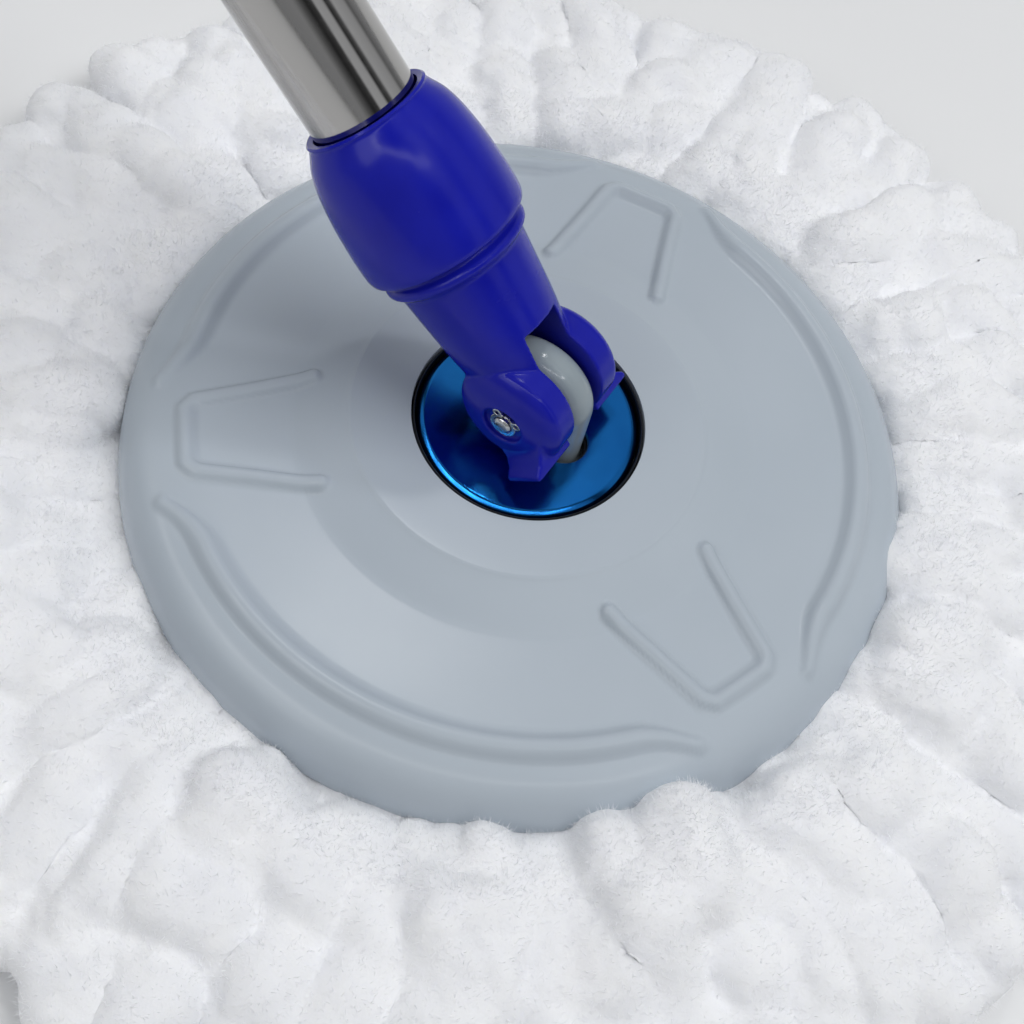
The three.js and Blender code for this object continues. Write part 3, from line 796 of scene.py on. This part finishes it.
def build_collar():
    """Collar that turns on the lower tube, with two ears for the lever and a pocket between them."""
    ring = turned_mesh(
        [
            (0, COLLAR_LOW),
            (14.6, COLLAR_LOW),
            (16.2, COLLAR_LOW + 3),
            (16.8, 470),
            (16.2, 500),
            (14.2, 516),
            (12.6, COLLAR_TOP),
            (0, COLLAR_TOP),
        ],
        96,
    )
    pocket = block_mesh((13, -5.4, 465), (25, 5.4, 515))
    ear = [
        (12, LEVER_S + 5),
        (12, LEVER_S - 10),
        (15, LEVER_S - 10),
        (LEVER_X + 3.6, LEVER_S),
        *arc_points(LEVER_X, LEVER_S, 3.6, 10, 90),
    ]
    ears = [moved(across_pole(ear, 1.2), Matrix.Translation((0, y, 0))) for y in (-6.6, 6.6)]
    bores = [bar(11.4, 440, 461, 96), bar(9.9, 460, 530, 96)]
    pin_hole = moved(along_pin(bar(1.55, -9, 9)), Matrix.Translation((LEVER_X, 0, LEVER_S)))
    piece = moulded("collar_moulding", [ring, *ears], [pocket, *bores, pin_hole], POLE, 0.42, 3)
    return finish_piece(piece, BLUE_PLASTIC, "guide", "blue_plastic", "guide_collar")


def build_lever():
    """Clamp lever with grooves at its free end, and the pin it turns on."""
    outline = [
        *arc_points(LEVER_X, LEVER_S, 3.2, 0, 180),
        (LEVER_X - 3.2, LEVER_S - 3),
        (LEVER_X - 1.2, LEVER_S - 8),
        (LEVER_X - 0.6, LEVER_S - 36),
        (LEVER_X + 3.4, LEVER_S - 41),
        (LEVER_X + 4.4, LEVER_S - 38),
        (LEVER_X + 2.6, LEVER_S - 24),
    ]
    hole = moved(along_pin(bar(1.45, -9, 9)), Matrix.Translation((LEVER_X, 0, LEVER_S)))
    grooves = []
    for k in range(5):
        place = Matrix.Translation((LEVER_X + 4.1 - 0.25 * k, 0, LEVER_S - 34 + 2.6 * k))
        grooves.append(moved(along_pin(bar(0.7, -9, 9, 24)), place))
    piece = moulded("lever_moulding", [across_pole(outline, 4.9)], [hole, *grooves], POLE, 0.25, 4)
    finish_piece(piece, GRIP_PLASTIC, "lever", "grip_plastic", "lock_lever")
    section = soften([(0, -7.9), (1.2, -7.9), (1.2, 7.9), (0, 7.9)], 0.2, 3, False)
    place = POLE @ Matrix.Translation((LEVER_X, 0, LEVER_S)) @ PIN_TO_POLE
    pin = turned("lever_pin_turned", section, place, 48)
    finish_piece(pin, STEEL, "guide", "steel", "lever_pin")


def build_grip():
    """Grip with finger grooves and fine lengthwise ribs between them."""
    low, high = GRIP_LOW, GRIP_TOP
    grooves = (746, 774, 802)
    outer = []
    rows = 160
    for k in range(rows + 1):
        s = low + (high - low) * k / rows
        shoulder = 1.6 * max(0, 1 - (s - low) / 4) ** 2 + 0.5 * max(0, 1 - (high - s) / 1.5) ** 2
        dip = sum(0.85 * math.exp(-(((s - g) / 1.7) ** 2)) for g in grooves)
        outer.append((13 - shoulder - dip, s))
    bore = 9.9
    sides = 240
    verts, faces = turned_mesh([(bore, low), *outer, (bore, high)], sides)
    ribbed = []
    for x, y, s in verts:
        r = math.hypot(x, y)
        wave = 0.14 * math.cos(24 * math.atan2(y, x)) if 12.3 < r and low + 6 < s < high - 3 else 0
        ribbed.append((x * (1 + wave / r), y * (1 + wave / r), s))
    piece = make_piece("grip_sleeve", ribbed, faces, POLE, 50)
    return finish_piece(piece, GRIP_PLASTIC, "upper_pole", "grip_plastic", "grip")


def build_end_cap():
    """Plugged cap with a flat hanging eye."""
    plug_r = 8.7
    body = turned_mesh(
        [
            (0, 822),
            (plug_r, 822),
            (plug_r, 840.4),
            (13, 840.4),
            (13, 844.6),
            (12.4, 846.4),
            (10.5, 849),
            (0, 849.5),
        ],
        96,
    )
    eye = [*arc_points(0, EYE_S, 12, -45, 225, 60), (-8.5, 846), (8.5, 846)]
    hole = moved(along_pin(bar(6.2, -9, 9, 64)), Matrix.Translation((0, 0, EYE_S + 1)))
    piece = moulded("end_cap_moulding", [body, across_pole(eye, 3.5)], [hole], POLE, 0.36, 5)
    return finish_piece(piece, BLUE_PLASTIC, "upper_pole", "blue_plastic", "end_cap")


# ------------------------------------------------------------------ pad
TUFT_UP = math.radians(-38)  # the pad stands up over the plate's rim here
TUFT_SIDE = math.radians(15)  # is a little fuller here
TUFT_LOW = math.radians(-78)  # lies lower here
TUFT_GAP = math.radians(-125)  # and falls away from the rim here
STRAND_ROOT = 70  # where the strands start, from the middle of the head
FUZZ_COUNT = 42000  # fibre ends in each of the two fuzz pieces


def near(azimuth, middle, width):
    """1 at the middle azimuth, falling off smoothly to 0 over the width."""
    offset = (azimuth - middle + math.pi) % (2 * math.pi) - math.pi
    return math.exp(-((offset / width) ** 2))


def strand_path(source, azimuth, layer):
    """Middle line of one strand in millimetres, from under the plate out to its tip."""
    reach = PAD_R - 9 + source.uniform(-6, 1)
    rise = source.uniform(-2.5, 2)
    if layer == "upper":
        up = near(azimuth, TUFT_UP, 0.16) + 0.6 * near(azimuth, TUFT_SIDE, 0.5)
        away = near(azimuth, TUFT_GAP, 0.36) + 0.35 * near(azimuth, TUFT_LOW, 0.3)
        height = 14.5 + rise + 4.5 * up - 5 * away
        stations = [
            (STRAND_ROOT, 6.5),
            (80, 7),
            (88 + 8 * away, 8 - 1.5 * away),
            (93.5 - 3.5 * up + 7.5 * away, height),
            (100 + 3 * away, height + 1.5),
            (109, 15 + rise),
            (122, 13),
            (138, 9.5),
            (reach, 7.2),
        ]
    else:
        stations = [(STRAND_ROOT, 6.8), (86, 6.8), (100, 7), (120, 7), (138, 6.8), (reach, 6.6)]
    sway = source.uniform(-5, 5)
    phase = source.uniform(0, 2 * math.pi)
    path = []
    for r, z in smooth_line(stations, 10):
        t = (r - STRAND_ROOT) / (PAD_R - STRAND_ROOT)
        side = sway * t * t * 1.6 + 2.2 * math.sin(phase + t * 7)
        x, y = polar(r, azimuth) + side * polar(1, azimuth + math.pi / 2)
        path.append(Vector((x, y, z)))
    return path


def strand_mesh(path, radius, shift):
    """A closed lumpy tube along a path."""
    around = 14
    layers = []
    count = len(path)
    for i, middle in enumerate(path):
        ahead = path[min(i + 1, count - 1)] - path[max(i - 1, 0)]
        side = ahead.cross(Vector((0, 0, 1))).normalized()
        top = side.cross(ahead.normalized())
        end = math.sqrt(max(0.02, 1 - (2 * i / (count - 1) - 1) ** 10))
        ring = []
        for k in range(around):
            angle = 2 * math.pi * k / around
            out = side * math.cos(angle) + top * math.sin(angle)
            spot = middle + out * radius + shift
            lump = noise.noise(spot * 0.06) * 0.4 + noise.noise(spot * 0.2) * 0.12
            ring.append(tuple(middle + out * radius * end * (1 + lump)))
        layers.append(ring)
    return layered_mesh(layers)


LEAST_HEIGHT = 0.15  # the pad's lowest point above the floor


def billow(spot):
    """Rounded cotton-like lumps at three sizes, in millimetres."""
    big = abs(noise.noise(spot * 0.045))
    small = noise.noise(spot * 0.12 + Vector((7, 3, 1)))
    fine = noise.noise(spot * 0.4)
    return 6 * big + 1.2 * small + 0.45 * fine


def fluff_up(mesh):
    """Swells a merged body of strands into cotton-like lumps and keeps it off the floor."""
    count = len(mesh.vertices)
    places = np.empty(count * 3)
    normals = np.empty(count * 3)
    mesh.vertices.foreach_get("co", places)
    mesh.vertex_normals.foreach_get("vector", normals)
    places, normals = places.reshape(-1, 3), normals.reshape(-1, 3)
    swell = np.array([billow(Vector(p)) for p in places])
    places += normals * swell[:, None]
    places[:, 2] = np.clip(places[:, 2], LEAST_HEIGHT, None)
    mesh.vertices.foreach_set("co", places.ravel())
    mesh.update()


def fuzz_mesh(body, count, source):
    """Loose fibre ends standing on a body: thin closed cones, leaning every way."""
    mesh = body.data
    mesh.calc_loop_triangles()
    raised = [t for t in mesh.loop_triangles if t.center.z > 2]  # clear of the floor
    triangles = [t for t in raised if t.center.xy.length > 83]  # and out from under the plate
    crest = 102  # fibres stand three times as thick inside this radius
    weights = [t.area * (3 if t.center.xy.length < crest else 1) for t in triangles]
    reach = np.cumsum(weights)
    verts, faces = [], []
    for _ in range(count):
        triangle = triangles[int(np.searchsorted(reach, source.random() * reach[-1]))]
        a, b, c = (mesh.vertices[i].co for i in triangle.vertices)
        u, v = sorted((source.random(), source.random()))
        root = a * u + b * (v - u) + c * (1 - v)
        lean = Vector([source.gauss(0, 0.55) for _ in range(3)])
        along = (triangle.normal + lean).normalized()
        if along.z < 0 and root.z < 5:
            along.z = -along.z
        side = along.orthogonal().normalized()
        other = along.cross(side)
        length = source.uniform(0.7, 2.2)
        thick = source.uniform(0.05, 0.085)
        start = len(verts)
        for k in range(3):
            angle = 2 * math.pi * k / 3
            spread = side * math.cos(angle) + other * math.sin(angle)
            verts.append(tuple(root - along * 0.3 + spread * thick))
        verts.append(tuple(root + along * length))
        faces += [(start, start + 2, start + 1)]
        faces += [(start + k, start + (k + 1) % 3, start + 3) for k in range(3)]
    return verts, faces


def strands(source):
    """Every strand's points and faces, in two layers round the head."""
    parts = []
    for layer, count, radius in (("lower", 64, 7.0), ("upper", 60, 8.4)):
        for k in range(count):
            azimuth = 2 * math.pi * (k + source.uniform(-0.25, 0.25)) / count
            path = strand_path(source, azimuth, layer)
            shift = Vector([source.uniform(0, 900) for _ in range(3)])
            parts.append(strand_mesh(path, radius * source.uniform(0.9, 1.12), shift))
    return parts


def build_pad():
    """Strands merged into one soft body, with loose fibre ends standing on it."""
    source = random.Random(SEED)
    parts = strands(source)
    pad = add_object("microfibre_strands", joined_mesh("microfibre_strands", parts))
    modified(
        pad,
        ("REMESH", {"mode": "VOXEL", "voxel_size": 1.3, "adaptivity": 0.0}),
        ("SMOOTH", {"factor": 0.5, "iterations": 10}),
    )
    fluff_up(pad.data)
    for i in range(2):
        verts, faces = fuzz_mesh(pad, FUZZ_COUNT, source)
        fuzz = make_piece(f"microfibre_fuzz_{i + 1}", verts, faces, HEAD)
        finish_piece(fuzz, MICROFIBRE, "head", "microfibre")
    pad.data.transform(HEAD)
    pad.data.shade_smooth()
    finish_piece(pad, MICROFIBRE, "head", "microfibre", "mop_pad")


# ------------------------------------------------------------------ scene
CAMERA_PLACE = (0.0679, -0.1808, 0.3237)
CAMERA_ROLL = math.radians(15.8)
CAMERA_FORWARD = Vector((-0.17281624, 0.47480872, -0.86295494))
GLINT_DISTANCE = 2
GLINT_SLOPE = 33  # degrees the disc's rim slopes down
GLINT_AZIMUTHS = (-123, -107, -91, -75, -58, -42)  # degrees round the disc


def build_camera():
    """Looks down at the head from the front, rolled a little."""
    data = bpy.data.cameras.new("camera")
    data.lens = 58
    data.sensor_width = 36
    data.clip_start = 0.01
    data.clip_end = 20
    camera = add_object("camera", data)
    back = -CAMERA_FORWARD
    right = Vector((0, 0, 1)).cross(back).normalized()
    up = back.cross(right)
    turn = Matrix((right, up, back)).transposed().to_4x4() @ Matrix.Rotation(CAMERA_ROLL, 4, "Z")
    camera.matrix_world = Matrix.Translation(CAMERA_PLACE) @ turn
    bpy.context.scene.camera = camera


def area_light(name, place, target, size, power):
    """A rectangular light that faces a target; metres and watts."""
    data = bpy.data.lights.new(name, "AREA")
    data.shape = "RECTANGLE"
    data.size, data.size_y = size
    data.energy = power
    light = add_object(name, data)
    light.location = place
    light.rotation_euler = (Vector(target) - Vector(place)).to_track_quat("-Z", "Y").to_euler()
    return light


def build_world():
    """Soft room light with darker and brighter bands, so that bright metal has something to show."""
    world = bpy.data.worlds.new("studio")
    world.use_nodes = True
    tree = world.node_tree
    coordinates = tree.nodes.new("ShaderNodeTexCoord")
    split = tree.nodes.new("ShaderNodeSeparateXYZ")
    ramp = tree.nodes.new("ShaderNodeValToRGB")
    tree.links.new(coordinates.outputs["Generated"], split.inputs["Vector"])
    span = tree.nodes.new("ShaderNodeMapRange")
    span.inputs["From Min"].default_value = -1
    tree.links.new(split.outputs["Y"], span.inputs["Value"])
    tree.links.new(span.outputs["Result"], ramp.inputs["Fac"])
    bands = (
        (0.0, 0.5),
        (0.2, 0.6),
        (0.27, 0.25),
        (0.34, 0.05),
        (0.42, 0.12),
        (0.45, 1.0),
        (0.56, 0.9),
        (0.6, 0.06),
        (0.66, 0.2),
        (0.7, 1.0),
        (0.84, 0.8),
        (0.88, 0.3),
        (1.0, 0.9),
    )
    while len(ramp.color_ramp.elements) < len(bands):
        ramp.color_ramp.elements.new(0.5)
    for element, (position, value) in zip(ramp.color_ramp.elements, bands):
        element.position = position
        element.color = (value * 0.95, value * 0.97, value, 1)
    tree.links.new(ramp.outputs["Color"], tree.nodes["Background"].inputs["Color"])
    tree.nodes["Background"].inputs["Strength"].default_value = 0.58
    bpy.context.scene.world = world


def build_glints():
    """Strip lights in a bow, placed where the disc's sloping rim mirrors them to the camera."""
    middle = Vector((0, 0, DISC_Z * MM))
    sight = (middle - Vector(CAMERA_PLACE)).normalized()
    slope = math.radians(GLINT_SLOPE)
    for azimuth in GLINT_AZIMUTHS:
        x, y = polar(math.sin(slope), math.radians(azimuth))
        place = middle + sight.reflect(Vector((x, y, math.cos(slope)))) * GLINT_DISTANCE
        light = area_light(f"glint_{-azimuth}", place, middle, (0.6, 0.13), 1.7)
        light.visible_diffuse = False


def build_studio():
    """Lights and a plain pale floor."""
    target = (0, 0, 0.03)
    key = area_light("key", (0.73, 0.36, 1.83), target, (1.3, 1.3), 20.5)
    key.visible_glossy = False  # a broad light with no glare of its own
    area_light("window", (-0.505, 0.794, 2.21), target, (0.27, 0.12), 4.2)
    area_light("fill", (-0.9, -1.6, 1.6), target, (1.6, 1.2), 10)
    build_glints()
    bpy.ops.mesh.primitive_plane_add(size=12, location=(0, 0, 0))
    floor = bpy.context.object
    floor.name = "floor"
    material = principled("floor_paint", (0.82, 0.825, 0.83), 0.6)
    vary(material, "Roughness", noise_node(material, 3, 3), 0.55, 0.65)
    floor.data.materials.append(material)
    bpy.context.scene.view_settings.view_transform = "Standard"


build_camera()
build_world()
build_studio()
dress_cad_nodes()
build_plate()
build_disc()
build_liner()
build_knuckle()
build_fork()
build_sleeve()
build_hinge_pin()
build_circlip()
build_collar()
build_lever()
build_grip()
build_end_cap()
tube("lower_tube_drawn", "lower_tube", "handle", 11, 0.4, 41.4, 460)
tube("upper_tube_drawn", "upper_tube", "upper_pole", 9.5, 0.4, 110, 840)
build_pad()
